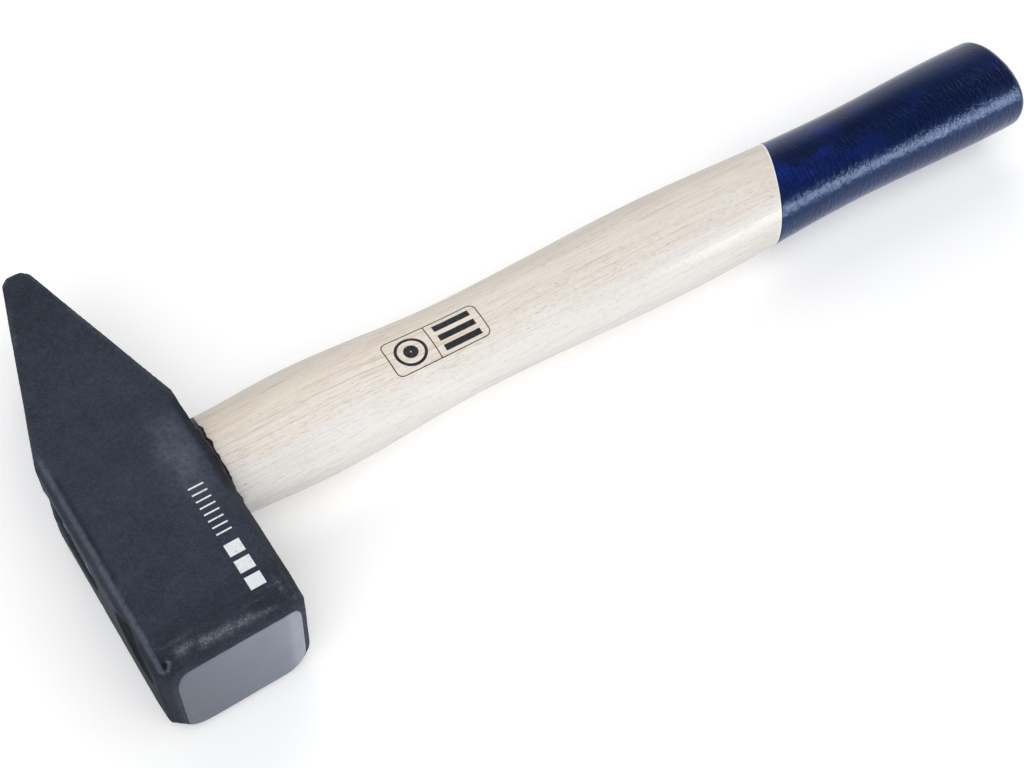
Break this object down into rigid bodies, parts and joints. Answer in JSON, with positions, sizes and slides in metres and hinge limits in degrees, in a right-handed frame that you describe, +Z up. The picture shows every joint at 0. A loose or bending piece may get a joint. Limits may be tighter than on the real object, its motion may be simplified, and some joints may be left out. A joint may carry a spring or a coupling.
{
  "type": "blacksmith hammer",
  "caption": "Cross-peen blacksmith's hammer: square forged head, wedge-shaped peen, ground striking face, and a waisted oval wooden handle wedged into the eye.",
  "frame": {"origin": "on the lower cheek, under the point where the axes of the handle and the head cross", "axes": "+X along the handle from the head to the butt, +Y to the peen with the striking face looking to -Y, +Z up out of the upper cheek"},
  "size_m": [0.4024, 0.155, 0.049],
  "materials": {
    "hammer_head": "charcoal paint over a forged surface; the striking face is ground bare",
    "handle": "clear-lacquered pale ash, with the last third of the grip dipped in dark blue lacquer",
    "wooden_wedge": "sawn hardwood",
    "steel_wedge": "bare, dull"
  },
  "bodies": {
    "root": {"hammer_head": "hammer_head", "handle": "handle", "wooden_wedge": "wooden_wedge", "steel_wedge_1": "steel_wedge", "steel_wedge_2": "steel_wedge"}
  },
  "joints": []
}
